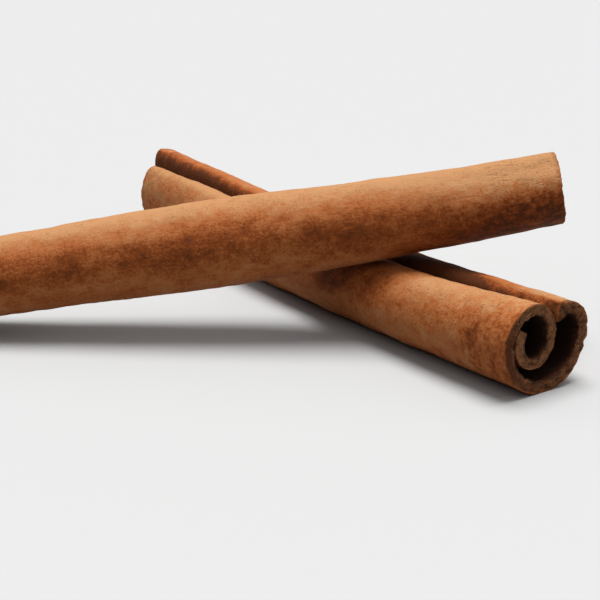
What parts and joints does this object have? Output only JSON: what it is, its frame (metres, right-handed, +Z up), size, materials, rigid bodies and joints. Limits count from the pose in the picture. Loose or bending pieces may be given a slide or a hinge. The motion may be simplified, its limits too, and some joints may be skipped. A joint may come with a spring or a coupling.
{
  "type": "stack of cinnamon sticks",
  "caption": "Stack of dried cinnamon sticks, each a scroll of rolled bark with open cut ends: one lies flat and another leans across it.",
  "frame": {"origin": "middle of the stack's box in plan, at table height", "axes": "+X along the upper stick in plan, from its low end to its raised end; +Y away from the viewer; +Z up"},
  "size_m": [0.081, 0.071, 0.0224],
  "materials": {
    "lower_bark": "matt dry bark",
    "upper_bark": "matt dry bark"
  },
  "bodies": {
    "root": {"lower_stick": "lower_bark", "upper_stick": "upper_bark"}
  },
  "joints": []
}
